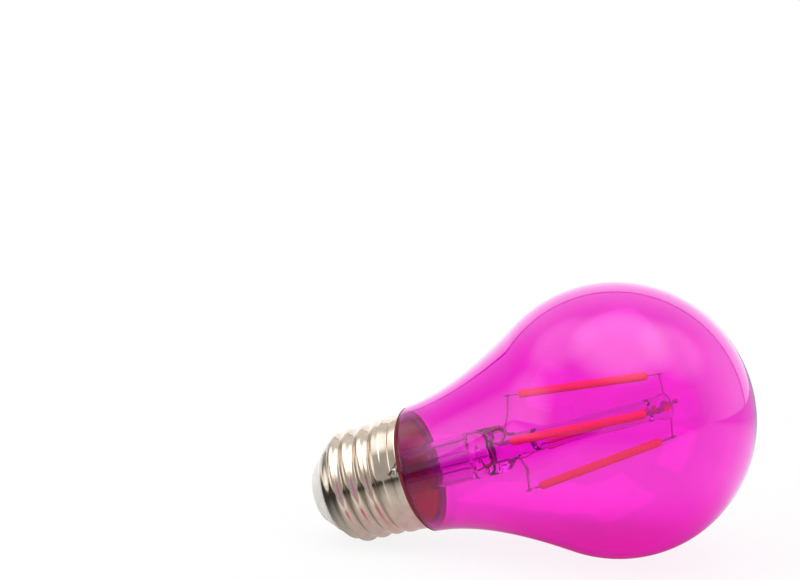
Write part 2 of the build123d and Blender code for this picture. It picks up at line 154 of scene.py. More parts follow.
def material(name, build):
    """A material whose surface is the shader that build makes in its tree."""
    made = bpy.data.materials.new(name)
    made.use_nodes = True
    made.node_tree.nodes.clear()
    surface = build(made.node_tree)
    add(made.node_tree, "ShaderNodeOutputMaterial", {"Surface": surface})
    return made


def bulb_coordinates(tree):
    """Object coordinates turned so that their Z runs along the bulb."""
    place = add(tree, "ShaderNodeTexCoord").outputs["Object"]
    lean = pi / 2 - atan2(AXIS.z, AXIS.x)
    return add(tree, "ShaderNodeMapping", {"Vector": place, "Rotation": (0, -lean, 0)})


# What some nodes take: a noise's features and a bump's depth are in millimetres, and a value
# that runs between two marks is turned into one between two others.
SMOOTH = {"interpolation_type": "SMOOTHSTEP"}


def spots(place, feature_mm, detail):
    scale = 1 / (feature_mm * MM)
    return {"Vector": place, "Scale": scale, "Detail": detail, "Roughness": 0.55}


def raised(height, depth_mm, strength=1.0):
    return {"Height": height, "Strength": strength, "Distance": depth_mm * MM}


def marks(value, start, end, low=0.0, high=1.0):
    return {"Value": value, "From Min": start, "From Max": end, "To Min": low, "To Max": high}


def mottled(tree, value, low, high, start=0.35, end=0.65):
    """A colour that goes from one to the other as a value goes from start to end."""
    share = add(tree, "ShaderNodeMapRange", marks(value, start, end))
    return add(tree, "ShaderNodeMix", {0: share, 6: low, 7: high}, data_type="RGBA").outputs[2]


def glass(name, colour, shade, ior, wave_mm, wave_depth_mm):
    """Glass that lamps shine through, with the slight waves of a blown or drawn wall."""

    def build(tree):
        place = bulb_coordinates(tree)
        waves = add(tree, "ShaderNodeTexNoise", spots(place, wave_mm, 1.0))
        cloud = add(tree, "ShaderNodeTexNoise", spots(place, 9.0, 2.0))
        body = {
            "Base Color": mottled(tree, cloud, tinted(colour, 0.975), tinted(colour, 1.02)),
            "Roughness": 0.0,
            "IOR": ior,
            "Transmission Weight": 1.0,
            "Normal": add(tree, "ShaderNodeBump", raised(waves, wave_depth_mm, 0.6)),
        }
        shaders = {
            0: add(tree, "ShaderNodeLightPath").outputs["Is Shadow Ray"],
            1: add(tree, "ShaderNodeBsdfPrincipled", body),
            2: add(tree, "ShaderNodeBsdfTransparent", {"Color": shade}),
        }
        return add(tree, "ShaderNodeMixShader", shaders)

    return material(name, build)


def flux_burn(tree, waver):
    """A mask, from 0 to 1, of the brown streak that the soldering flux left by the rim."""
    start, end = (BULB @ (Vector(around(SKIRT_R, *spot)) * MM) for spot in BURN)
    run = (end - start).normalized()
    half = (end - start).length / 2
    place = add(tree, "ShaderNodeTexCoord").outputs["Object"]
    middle = (start + end) / 2
    off = add(tree, "ShaderNodeVectorMath", {0: place, 1: middle}, operation="SUBTRACT")
    along = add(tree, "ShaderNodeVectorMath", {0: off, 1: run}, operation="DOT_PRODUCT")
    across = add(tree, "ShaderNodeVectorMath", {0: off, 1: run}, operation="CROSS_PRODUCT")
    width = add(tree, "ShaderNodeVectorMath", {0: across}, operation="LENGTH")
    ragged = {0: waver, 1: 1.6 * MM, 2: width.outputs["Value"]}
    ragged = add(tree, "ShaderNodeMath", ragged, operation="MULTIPLY_ADD")
    reach = add(tree, "ShaderNodeMath", {0: along.outputs["Value"]}, operation="ABSOLUTE")
    inside = marks(ragged, 0.85 * MM, 1.25 * MM, 1.0, 0.0)
    inside = add(tree, "ShaderNodeMapRange", inside, **SMOOTH)
    ends = marks(reach, half * 0.7, half * 1.1, 1.0, 0.0)
    ends = add(tree, "ShaderNodeMapRange", ends, **SMOOTH)
    return add(tree, "ShaderNodeMath", {0: inside, 1: ends}, operation="MULTIPLY")


def nickel_plated_brass():
    """Thin brass sheet, rolled and nickel plated: bright, warm, with fine lines round the cap."""

    def build(tree):
        colour = tuple(colours().metal)
        place = bulb_coordinates(tree)
        # Rolling leaves fine lines round the cap, drawn 0.13 mm apart so that they show.
        rolled = add(tree, "ShaderNodeMapping", {"Vector": place, "Scale": (0.25, 0.25, 45.0)})
        lines = add(tree, "ShaderNodeTexNoise", spots(rolled, 6.0, 4.0))
        wear = add(tree, "ShaderNodeTexNoise", spots(place, 2.5, 4.0))
        dents = add(tree, "ShaderNodeTexNoise", spots(place, 3.2, 1.0))
        scored = add(tree, "ShaderNodeBump", raised(lines, 0.012, 0.5))
        dented = {**raised(dents, 0.12, 0.35), "Normal": scored}
        stained = {
            0: flux_burn(tree, wear),
            6: mottled(tree, wear, tinted(colour, 0.86), colour, 0.3, 0.6),
            7: linear("#5A3216"),
        }
        sheet = {
            "Base Color": add(tree, "ShaderNodeMix", stained, data_type="RGBA").outputs[2],
            "Metallic": 1.0,
            "Roughness": add(tree, "ShaderNodeMapRange", marks(lines, 0.35, 0.65, 0.09, 0.17)),
            "Normal": add(tree, "ShaderNodeBump", dented),
        }
        return add(tree, "ShaderNodeBsdfPrincipled", sheet)

    return material("nickel_plated_brass_sheet", build)


def metal(name, low, high, rough, grain_mm, grain_depth_mm):
    """A plain metal with a fine worked surface."""

    def build(tree):
        place = bulb_coordinates(tree)
        grain = add(tree, "ShaderNodeTexNoise", spots(place, grain_mm, 4.0))
        gloss = marks(grain, 0.35, 0.65, rough * 0.8, rough * 1.25)
        surface = {
            "Base Color": mottled(tree, grain, linear(low), linear(high)),
            "Metallic": 1.0,
            "Roughness": add(tree, "ShaderNodeMapRange", gloss),
            "Normal": add(tree, "ShaderNodeBump", raised(grain, grain_depth_mm)),
        }
        return add(tree, "ShaderNodeBsdfPrincipled", surface)

    return material(name, build)


def solid(name, low, high, rough, grain_mm, grain_depth_mm, soft=0.0):
    """An opaque material that is moulded, fired, cast or pressed, with its grain."""

    def build(tree):
        place = bulb_coordinates(tree)
        grain = add(tree, "ShaderNodeTexNoise", spots(place, grain_mm, 5.0))
        cloud = add(tree, "ShaderNodeTexNoise", spots(place, grain_mm * 6, 2.0))
        gloss = marks(grain, 0.35, 0.65, rough * 0.85, min(1.0, rough * 1.15))
        surface = {
            "Base Color": mottled(tree, cloud, linear(low), linear(high), 0.3, 0.7),
            "Roughness": add(tree, "ShaderNodeMapRange", gloss),
            "Subsurface Weight": soft,
            "Subsurface Scale": 0.4 * MM,
            "Normal": add(tree, "ShaderNodeBump", raised(grain, grain_depth_mm)),
        }
        return add(tree, "ShaderNodeBsdfPrincipled", surface)

    return material(name, build)


def phosphor_silicone():
    """Silicone with phosphor, laid over the diodes: satin, paler in spots along the middle."""

    def build(tree):
        colour = tuple(colours().phosphor)
        along = add(tree, "ShaderNodeAttribute", attribute_name="along").outputs["Fac"]
        turns = {0: along, 1: 2 * pi / sizes().diode_pitch}
        turns = add(tree, "ShaderNodeMath", turns, operation="MULTIPLY")
        wave = add(tree, "ShaderNodeMath", {0: turns}, operation="SINE")
        place = bulb_coordinates(tree)
        # The grains of phosphor are finer, and are drawn 0.35 mm across so that they show.
        grain = add(tree, "ShaderNodeTexNoise", spots(place, 0.35, 3.0))
        blend = {0: wave, 1: 0.5, 2: grain}
        blend = add(tree, "ShaderNodeMath", blend, operation="MULTIPLY_ADD")
        edge, middle = tinted(colour, 0.95), tinted(colour, 1.02)
        coating = {
            "Base Color": mottled(tree, blend, edge, middle, 0.0, 1.0),
            "Roughness": 0.42,
            "Subsurface Weight": 0.25,
            "Subsurface Scale": 0.3 * MM,
            "Normal": add(tree, "ShaderNodeBump", raised(grain, 0.01)),
        }
        return add(tree, "ShaderNodeBsdfPrincipled", coating)

    return material("phosphor_silicone_coating", build)


def baked_cement():
    """Phenolic cement, baked: tan and dull inside, darker to a dark red brown at the rim, with a
    faint painted red glow.
    """

    def build(tree):
        place = bulb_coordinates(tree)
        grain = add(tree, "ShaderNodeTexNoise", spots(place, 0.45, 5.0))
        rim = TIP.dot(AXIS) + RIM_HEIGHT * MM
        height = add(tree, "ShaderNodeSeparateXYZ", {0: place}).outputs["Z"]
        # Darker towards the rim, over its last half millimetre.
        darkened_at_rim = marks(height, rim - 0.5 * MM, rim)
        darkened_at_rim = add(tree, "ShaderNodeMapRange", darkened_at_rim, **SMOOTH)
        inside = mottled(tree, grain, linear("#CC6E34"), linear("#EE9A58"), 0.3, 0.7)
        colour = {0: darkened_at_rim, 6: inside, 7: linear("#4A0A22")}
        body = {
            "Base Color": add(tree, "ShaderNodeMix", colour, data_type="RGBA").outputs[2],
            "Roughness": 0.8,
            # A painted red glow: it stands in for the light that the envelope's wall pipes down to
            # the cement, which is more than the rays find.
            "Emission Color": linear("#E8301C"),
            "Emission Strength": 0.11,
            "Normal": add(tree, "ShaderNodeBump", raised(grain, 0.06)),
        }
        return add(tree, "ShaderNodeBsdfPrincipled", body)

    return material("baked_phenolic_cement", build)


def studio_paper():
    """Matt white paper: white to the eye, with the bulb's tinted shadow where it lies."""

    def build(tree):
        ray = add(tree, "ShaderNodeLightPath")
        through = ray.outputs["Is Transmission Ray"]
        place = add(tree, "ShaderNodeTexCoord").outputs["Object"]
        away = add(tree, "ShaderNodeVectorMath", {0: place}, operation="LENGTH").outputs["Value"]
        flat = add(tree, "ShaderNodeSeparateXYZ", {0: place}).outputs
        aside = add(tree, "ShaderNodeMath", {0: flat["Y"]}, operation="ABSOLUTE")
        middle, reach = TINTED_SHADOW
        under = {
            "Vector": place,
            "Location": (-middle / reach[0], 0, 0),
            "Scale": (1 / reach[0], 1 / reach[1], 0),
        }
        under = add(tree, "ShaderNodeMapping", under)
        off = add(tree, "ShaderNodeVectorMath", {0: under}, operation="LENGTH").outputs["Value"]
        # Each step is named for what it says of a place on the paper, in metres.
        steps = {
            "seen": marks(away, 0.10, 0.35, 0.86, 1.0),
            "seen_through": marks(away, 0.05, 0.30, 0.12, 1.0),
            "lit": marks(off, 0.25, 1.2),
            "distant": marks(aside, 0.06, 0.25, 1.1, 0.5),
            # Painted shade: what polished surfaces mirror is darkened to the left of the cap, and
            # comes back further out.
            "into_painted_shade": marks(flat["X"], -0.07, -0.01, 0.05, 1.0),
            "past_painted_shade": marks(flat["X"], -0.18, -0.10, 1.2, 0.0),
        }
        step = {name: add(tree, "ShaderNodeMapRange", s, **SMOOTH) for name, s in steps.items()}
        # A ray that goes through clear glass counts as glossy too, so it is taken out here.
        mirrored = {0: ray.outputs["Is Glossy Ray"], 1: through}
        mirrored = add(tree, "ShaderNodeMath", mirrored, operation="SUBTRACT", use_clamp=True)
        camera = {0: ray.outputs["Is Camera Ray"], 1: step["seen"], 2: mirrored}
        camera = add(tree, "ShaderNodeMath", camera, operation="MULTIPLY_ADD")
        share = {0: through, 1: step["seen_through"], 2: camera}
        share = add(tree, "ShaderNodeMath", share, operation="MULTIPLY_ADD", use_clamp=True)
        # What polished surfaces mirror: painted light that fades away from the bulb's line, a
        # painted tinted shadow under the bulb, and painted shade beside the cap.
        painted_shade = {0: step["into_painted_shade"], 1: step["past_painted_shade"]}
        painted_shade = add(tree, "ShaderNodeMath", painted_shade, operation="ADD")
        dim = add(tree, "ShaderNodeMath", {0: step["distant"], 1: painted_shade}, operation="MULTIPLY")
        strength = add(tree, "ShaderNodeMix", {0: mirrored, 2: 1.0, 3: dim}, data_type="FLOAT")
        shadow = {0: step["lit"], 6: linear("#C34581"), 7: WHITE}
        shadow = add(tree, "ShaderNodeMix", shadow, data_type="RGBA").outputs[2]
        shown = {0: mirrored, 6: WHITE, 7: shadow}
        shown = add(tree, "ShaderNodeMix", shown, data_type="RGBA").outputs[2]
        shaders = {
            0: share,
            1: add(tree, "ShaderNodeBsdfDiffuse", {"Color": linear("#F4F4F4")}),
            2: add(tree, "ShaderNodeEmission", {"Color": shown, "Strength": strength}),
        }
        return add(tree, "ShaderNodeMixShader", shaders)

    return material("studio_paper", build)


# ---- meshes


def arc(centre, radius, start, end, count):
    """Points of an arc in the section plane, from one angle in degrees to another."""
    turns = [radians(start + (end - start) * i / count) for i in range(count + 1)]
    return [(centre[0] + radius * cos(turn), centre[1] + radius * sin(turn)) for turn in turns]


def bezier(points, count):
    """Points of a cubic curve in the section plane."""
    a, b, c, d = (Vector(p) for p in points)
    out = []
    for i in range(count + 1):
        t = i / count
        p = a * (1 - t) ** 3 + b * 3 * t * (1 - t) ** 2 + c * 3 * t * t * (1 - t) + d * t**3
        out.append((p.x, p.y))
    return out


def line(start, end, count):
    """Evenly spaced points of a straight line in the section plane."""
    return [
        (start[0] + (end[0] - start[0]) * i / count, start[1] + (end[1] - start[1]) * i / count)
        for i in range(count + 1)
    ]


def joined(*runs):
    """One profile from several, without the points that they share."""
    out = []
    for run in runs:
        for point in run:
            if not out or hypot(point[0] - out[-1][0], point[1] - out[-1][1]) > TINY:
                out.append(point)
    return out


def rings_to_mesh(rings, closed=False):
    """Joins rings of points; a ring of one point is a pole, and closed joins last to first."""
    points, faces, starts = [], [], []
    for ring in rings:
        starts.append(len(points))
        points.extend(ring)
    pairs = list(zip(range(len(rings)), range(1, len(rings))))
    if closed:
        pairs.append((len(rings) - 1, 0))
    for first, second in pairs:
        a, b = starts[first], starts[second]
        m, n = len(rings[first]), len(rings[second])
        if m == 1 and n == 1:
            continue
        for i in range(max(m, n)):
            j = (i + 1) % max(m, n)
            if m == 1:
                faces.append((a, b + j, b + i))
            elif n == 1:
                faces.append((a + i, a + j, b))
            else:
                faces.append((a + i, a + j, b + j, b + i))
    return points, faces


def oval(across, over, height, segments):
    """A ring round the bulb's axis with two half widths, or a pole where they are nought."""
    if across < TINY:
        return [(0, 0, height)]
    turns = [2 * pi * i / segments for i in range(segments)]
    return [(across * cos(turn), over * sin(turn), height) for turn in turns]


def revolved(profile, segments=SEGMENTS, closed=False):
    """A profile of radius and height in millimetres, turned round the bulb's axis."""
    rings = [oval(radius, radius, height, segments) for radius, height in profile]
    return rings_to_mesh(rings, closed)


def bar(points, radii, closed=False, sides=12):
    """A round bar with its own radius at each of its points, which lie in a plane of one y."""
    rings = []
    over = Vector((0, 1, 0))
    turns = [2 * pi * j / sides for j in range(sides)]
    for i, (point, radius) in enumerate(zip(points, radii)):
        before = points[i - 1] if closed or i else point
        after = points[(i + 1) % len(points)] if closed or i < len(points) - 1 else point
        aside = (after - before).normalized().cross(over)
        rings.append([point + (aside * cos(turn) + over * sin(turn)) * radius for turn in turns])
    if not closed:
        rings = [[points[0]], *rings, [points[-1]]]
    return rings_to_mesh(rings, closed)


def placed(name, mesh, inwards=False):
    """A mesh from the bulb's frame and millimetres, its faces pointing outwards or inwards."""
    points, faces = mesh
    data = bpy.data.meshes.new(name)
    data.from_pydata([BULB @ (Vector(p) * MM) for p in points], [], faces)
    work = bmesh.new()
    work.from_mesh(data)
    bmesh.ops.recalc_face_normals(work, faces=work.faces)
    if inwards:
        bmesh.ops.reverse_faces(work, faces=work.faces)
    work.to_mesh(data)
    work.free()
    return data


def finished(name, data, finish, slot, *nodes, sharp=35):
    """Gives a mesh its shading and material, hangs it on the root body, and hides the nodes that it
    stands in for; the slot is not used.
    """
    data.materials.clear()
    data.materials.append(finish)
    data.shade_smooth()
    data.set_sharp_from_angle(angle=radians(sharp))
    thing = bpy.data.objects.new(name, data)
    bpy.context.scene.collection.objects.link(thing)
    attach(thing, "root")
    if nodes:
        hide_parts(*nodes)
    return thing


def piece(name, mesh, finish, slot, *nodes, sharp=35, bore=None):
    """A finished piece from a mesh, with a closed hollow inside it where a bore is given."""
    data = placed(name, mesh)
    if bore is not None:
        hollow = placed(f"{name}_bore", bore, inwards=True)
        work = bmesh.new()
        work.from_mesh(data)
        work.from_mesh(hollow)
        work.to_mesh(data)
        work.free()
        bpy.data.meshes.remove(hollow)
    return finished(name, data, finish, slot, *nodes, sharp=sharp)


def dress(finish, *nodes):
    """Gives CAD nodes that stay a better material."""
    for node in nodes:
        data = frame["nodes"][node].data
        for i in range(len(data.materials)):
            data.materials[i] = finish


# ---- geometry nodes


def node_group(name, **inputs):
    """A geometry tree with named inputs besides its geometry and material, and its input node."""
    tree = bpy.data.node_groups.new(name, "GeometryNodeTree")
    kinds = {"Geometry": "NodeSocketGeometry", **inputs, "Material": "NodeSocketMaterial"}
    for socket, kind in kinds.items():
        tree.interface.new_socket(socket, in_out="INPUT", socket_type=kind)
    tree.interface.new_socket("Geometry", in_out="OUTPUT", socket_type="NodeSocketGeometry")
    return tree, add(tree, "NodeGroupInput").outputs


def close_group(tree, geometry, given):
    """Ends a tree in Realize Instances and Set Material."""
    real = add(tree, "GeometryNodeRealizeInstances", {"Geometry": geometry})
    dressed = {"Geometry": real, "Material": given["Material"]}
    add(tree, "NodeGroupOutput", {0: add(tree, "GeometryNodeSetMaterial", dressed)})
    return tree


def wire_tree():
    """A round wire along a path, with its corners bent to a radius."""
    tree, given = node_group("wire_along_path", Radius="NodeSocketFloat", Bend="NodeSocketFloat")
    bent = {"Curve": given["Geometry"], "Count": 8, "Radius": given["Bend"]}
    section = {"Resolution": 14, "Radius": given["Radius"]}
    skin = {
        "Curve": add(tree, "GeometryNodeFilletCurve", bent, mode="POLY"),
        "Profile Curve": add(tree, "GeometryNodeCurvePrimitiveCircle", section),
        "Fill Caps": True,
    }
    return close_group(tree, add(tree, "GeometryNodeCurveToMesh", skin), given)


def filament_tree():
    """A coated filament along a line: round ends and a slight swell over each diode."""
    tree, given = node_group("coated_filament", Radius="NodeSocketFloat", Pitch="NodeSocketFloat")
    fine = {"Curve": given["Geometry"], "Count": 220}
    fine = add(tree, "GeometryNodeResampleCurve", fine)
    along = add(tree, "GeometryNodeSplineParameter").outputs["Length"]
    total = add(tree, "GeometryNodeSplineLength").outputs["Length"]
    step = {"along": along, "total": total, "radius": given["Radius"], "pitch": given["Pitch"]}
    # Each step's name, what it does, and the numbers or earlier steps that it takes.
    for name, operation, *taken in (
        ("left", "SUBTRACT", "total", "along"),
        ("to_end", "MINIMUM", "along", "left"),
        # The coating's ends are quarter rounds.
        ("ratio", "DIVIDE", "to_end", "radius"),
        ("share", "MINIMUM", "ratio", 1.0),
        ("gone", "SUBTRACT", 1.0, "share"),
        ("squared", "MULTIPLY", "gone", "gone"),
        ("kept", "SUBTRACT", 1.0, "squared"),
        ("round_end", "SQRT", "kept"),
        ("least", "MAXIMUM", "round_end", 0.12),
        # A slight wave swells over each diode.
        ("turns", "DIVIDE", "along", "pitch"),
        ("angle", "MULTIPLY", "turns", 2 * pi),
        ("wave", "SINE", "angle"),
        ("swell", "MULTIPLY_ADD", "wave", DIODE_SWELL, 1 - DIODE_SWELL),
        ("factor", "MULTIPLY", "least", "swell"),
    ):
        inputs = {i: step.get(value, value) for i, value in enumerate(taken)}
        step[name] = add(tree, "ShaderNodeMath", inputs, operation=operation)
    sized = add(tree, "GeometryNodeSetCurveRadius", {"Curve": fine, "Radius": step["factor"]})
    # The coating's pattern reads how far along the filament it is.
    marked = {"Geometry": sized, "Name": "along", "Value": along}
    marked = add(
        tree, "GeometryNodeStoreNamedAttribute", marked, domain="POINT", data_type="FLOAT"
    )
    section = {"Resolution": 24, "Radius": given["Radius"]}
    skin = {
        "Curve": marked,
        "Profile Curve": add(tree, "GeometryNodeCurvePrimitiveCircle", section),
        "Scale": add(tree, "GeometryNodeInputRadius"),
        "Fill Caps": True,
    }
    return close_group(tree, add(tree, "GeometryNodeCurveToMesh", skin), given)


def weld_tree():
    """A small flattened bead on each point: the spot welds of the filaments."""
    tree, given = node_group("spot_welds", Radius="NodeSocketFloat")
    bead = {"Subdivisions": 3, "Radius": given["Radius"]}
    turn = {0: (0, 0, 0), 1: (pi, pi, pi), "Seed": 7}
    beads = {
        "Points": add(tree, "GeometryNodeMeshToPoints", {"Mesh": given["Geometry"]}),
        "Instance": add(tree, "GeometryNodeMeshIcoSphere", bead),
        "Rotation": add(tree, "FunctionNodeRandomValue", turn, data_type="FLOAT_VECTOR"),
        "Scale": (1.0, 0.8, 0.62),
    }
    return close_group(tree, add(tree, "GeometryNodeInstanceOnPoints", beads), given)


def grown(name, data, tree, values):
    """The plain mesh that a tree makes from a curve or from a mesh of points."""
    source = bpy.data.objects.new(name, data)
    bpy.context.scene.collection.objects.link(source)
    modifier = source.modifiers.new(tree.name, "NODES")
    modifier.node_group = tree
    for item in tree.interface.items_tree:
        if item.in_out == "INPUT" and item.name in values:
            modifier[item.identifier] = values[item.name]
    bpy.context.view_layer.update()
    evaluated = source.evaluated_get(bpy.context.evaluated_depsgraph_get())
    made = bpy.data.meshes.new_from_object(evaluated)
    made.name = name
    bpy.data.objects.remove(source)
    return made


def path(name, points):
    """A curve of straight runs through points of the bulb's frame, in millimetres."""
    curve = bpy.data.curves.new(name, "CURVE")
    curve.dimensions = "3D"
    spline = curve.splines.new("POLY")
    spline.points.add(len(points) - 1)
    for knot, point in zip(spline.points, points):
        knot.co = (*(BULB @ (Vector(point) * MM)), 1.0)
    return curve


# ---- the bulb's rules
# All in the bulb's frame, in millimetres and degrees.


def around(radius, angle, height):
    """A point from its radius, its angle and its height."""
    return (radius * cos(radians(angle)), radius * sin(radians(angle)), height)


def ease(start, end, value):
    """A smooth step from 0 to 1."""
    t = min(1.0, max(0.0, (value - start) / (end - start)))
    return t * t * (3 - 2 * t)


# The lower and the upper weld of each filament.
FILAMENTS = {
    "a": (around(11.0, -4, 50.2), around(7.0, -6, 83.8)),
    "b": (around(11.0, 79, 48.8), around(7.0, 90, 82.6)),
    "c": (around(11.0, 190, 48.6), around(7.0, 188, 82.7)),
    "d": (around(11.0, 252, 50.6), around(7.0, 268, 84.4)),
}
LOWER_BARE, UPPER_BARE = 2.1, 2.4     # strip that shows past a filament's coating
DIODE_SWELL = 0.002                   # of the coating's radius
WELD_R = 0.42
# The radius of each wire and the points that it runs through.
WIRES = {
    "lead_wire_a": (
        0.3,
        [(3.95, 0, 12.7), (3.95, 0, 47.6), (7.1, -0.3, 49.2), FILAMENTS["a"][0]],
    ),
    "lead_wire_c": (
        0.3,
        [(-2.4, 0, 12.7), (-2.4, 0, 46.4), (-3.3, 0, 49.3), (-6.06, -0.7, 49.7), FILAMENTS["c"][0]],
    ),
    "branch_wire_b": (0.25, [(4.3, 0, 47.85), (3.9, 2.6, 48.2), FILAMENTS["b"][0]]),
    "branch_wire_d": (0.25, [(-3.05, 0, 48.6), (-3.5, -2.6, 49.6), FILAMENTS["d"][0]]),
    "support_wire_a_c": (
        0.25,
        [FILAMENTS["a"][1], (2.9, -0.2, 83.75), (-1.9, 0, 84.0), FILAMENTS["c"][1]],
    ),
    "support_wire_b_d": (
        0.25,
        [FILAMENTS["b"][1], (0, 2.6, 82.45), (0, -2.6, 82.6), FILAMENTS["d"][1]],
    ),
}
WIRE_SHARE, WIRE_BEND = 0.7, 0.7      # of the solids' radius, and the radius of the bends
SEAL_Y = 0.7                          # the plane of the seal wires in the pinch
SEAL_LOOP = Vector((3.05, SEAL_Y, 45.2))
SEAL_LOOP_SIZE, SEAL_LOOP_LEAN = (2.35, 1.75), (0.963, -0.27)
SEAL_CROOK = ((-0.9, 40.0), (-3.3, 40.6), (-3.3, 42.2), (-1.0, 43.3))

GLOBE_HEIGHT = 72.0                   # of the globe's centre
GLOBE_WRAP = 30.4                     # angle below the centre at which the globe ends
NECK_HEIGHT, NECK_FLARE = 26.9, 0.085
SHOULDER_R = 1.8
SEAL = (11.2, 18.2)                   # radius and height at which envelope and stem are sealed

TUBE_R, TUBE_WALL = 5.4, 0.8
FLARE_R, FLARE_BEND, FLARE_TOP = 11.1, 5.0, 23.2
ROD_R, ROD_BORE_R, ROD_BORE = 2.5, 2.2, (54.5, 78.5)
# Height, half width and half thickness of the pinch, from the rod down to the tube.
PINCH_RINGS = (
    (49.9, ROD_R, ROD_R),
    (48.2, 3.4, 2.7),
    (46.4, 5.2, 2.8),
    (43.9, 5.4, 3.0),
    (40.4, TUBE_R, TUBE_R),
)
PINCH_START, PINCH_END = (40.0, 42.0), (48.5, 50.5)
PINCH_LUMPS = 0.07                    # of the pinch's width
EXHAUST_R, EXHAUST_BORE_R, EXHAUST_FOOT, EXHAUST_TOP = 1.6, 0.9, 13.0, 39.4

CREST_R, CREST_HEIGHT = 13.05, 18.8
SKIRT_R, RIM_HEIGHT = 13.3, 24.9
MOUTH_R, MOUTH_HEIGHT, CONE_HEIGHT = 9.65, 4.5, 9.2
THREAD_IN, THREAD_OUT = (5.6, 8.6), (17.6, 20.6)
THREAD_ROW, THREAD_ROWS = 0.165, 101
BAND, BAND_R, BAND_EDGE = (21.0, 23.1), 13.2, 0.2
# Rows of the skirt, close together where the band and the notch are.
SKIRT_ROWS = (21.1, 21.2, 22.0, 22.9, 23.0, 23.1, 23.2, 23.3, 24.0, 24.4, 24.7, 24.82, RIM_HEIGHT)
SHEET, SHEET_EDGE = 0.3, 0.06
NOTCH_ANGLE, NOTCH_HALF, NOTCH_FOOT = 80, 1.01, 24.4
BURN = ((72.5, 24.9), (83.0, 22.6))   # angle and height of the flux burn's two ends
SOLDER_FOOT = (13.31, NOTCH_ANGLE, 24.15)
SOLDER_REACH, SOLDER_RISE = 0.72, 0.3


def envelope_line(inset):
    """The glass's outer line from crown to shoulder, or its inner one with an inset."""
    globe, neck = sizes().globe_radius / MM - inset, sizes().neck_radius / MM
    wrap = radians(GLOBE_WRAP)
    foot = (globe * cos(wrap), GLOBE_HEIGHT - globe * sin(wrap))
    handle = (foot[1] - NECK_HEIGHT) / 3
    return joined(
        [(0, GLOBE_HEIGHT + globe)],
        arc((0, GLOBE_HEIGHT), globe, 89, -GLOBE_WRAP, 90),
        bezier(
            (
                foot,
                (foot[0] - handle * tan(wrap), foot[1] - handle),
                (neck - inset + handle * NECK_FLARE, NECK_HEIGHT + handle),
                (neck - inset, NECK_HEIGHT),
            ),
            40,
        ),
        arc((neck - SHOULDER_R, NECK_HEIGHT), SHOULDER_R - inset, 0, -90, 14),
    )


def pressed(x, y, height):
    """A point of the stem's skin, with the lumps that the pinching jaws left."""
    share = ease(*PINCH_START, height) * (1 - ease(*PINCH_END, height))
    lump = 1 + PINCH_LUMPS * share * noise.noise(Vector((x, y, height)) * 0.42)
    return (x * lump, y * lump, height)


def groove_depth(angle, height):
    """How far a rolled thread of equal arcs lies below its crest."""
    pitch, depth = sizes().thread_pitch / MM, sizes().thread_depth / MM
    bend = ((pitch / 4) ** 2 + (depth / 2) ** 2) / depth
    turn = (height - CREST_HEIGHT) / pitch - angle / 360
    away = abs(turn - round(turn)) * pitch
    if away < pitch / 4:
        return bend - sqrt(bend**2 - away**2)
    return depth - bend + sqrt(bend**2 - (pitch / 2 - away) ** 2)


def shell_radius(angle, height):
    """The shell's outer radius at a place."""
    rise = min(1.0, (height - MOUTH_HEIGHT) / (CONE_HEIGHT - MOUTH_HEIGHT))
    crest = MOUTH_R + (CREST_R - MOUTH_R) * sin(pi / 2 * rise)
    crest += (SKIRT_R - CREST_R) * ease(*THREAD_OUT, height)
    for edge, step in zip(BAND, (BAND_R - SKIRT_R, SKIRT_R - BAND_R)):
        crest += step * ease(edge - BAND_EDGE, edge + BAND_EDGE, height)
    share = ease(*THREAD_IN, height) * (1 - ease(*THREAD_OUT, height))
    return crest - groove_depth(angle, height) * share


# The studio: where each lamp stands, its sides in metres and its power in watts.
LAMPS = (
    ("overhead_softbox", (0.05, -0.05, 0.85), (0.7, 0.6), 2.5),
    ("left_softbox", (-0.60, -0.40, 0.40), (0.4, 0.5), 1.2),
    ("right_softbox", (0.75, -0.30, 0.35), (0.4, 0.5), 0.8),
)
LAMP_AIM = Vector((0.0, 0.0, 0.03))
# Where polished surfaces see a painted shadow on the paper, tinted as if by the glass.
TINTED_SHADOW = (0.018, (0.055, 0.04))       # the x of its middle, and its half sizes, in metres
PLAIN_LEVELS = (0.22, 0.8)                   # of the world as a light, low down and overhead
MIRRORED_LEVELS = (0.55, 1.0)                # of the studio in gloss, in front and behind
# What polished surfaces mirror: where a panel is, its inner and outer angle and its strength.
MIRRORED_PANELS = (
    ((0.12, -0.28, 0.95), 14, 40, 2.6),
    ((-0.55, -0.12, 0.83), 6, 28, 1.3),
    ((0.62, 0.02, 0.79), 6, 28, 1.5),
    ((-0.93, -0.33, 0.12), 10, 30, 1.2),
    ((0.85, 0.30, 0.25), 8, 34, 0.5),
    ((-0.163, 0.978, -0.154), 48.4, 49.0, 1.1),
    ((-0.163, 0.978, -0.154), 50.6, 51.4, -0.7),
    ((-0.95, 0.30, 0.10), 14, 38, -0.5),
)
# The camera: its turn, pitch and roll, and its place from the globe's centre in millimetres.
CAMERA_TURNS = (18.1276, 3.601, -0.8177)
CAMERA_PLACE = (50.966, -305.240, 48.139)
FOCAL_PIXELS, FRAME_PIXELS, SENSOR_WIDTH = 1413.78, 800, 36.0


# ---- operators


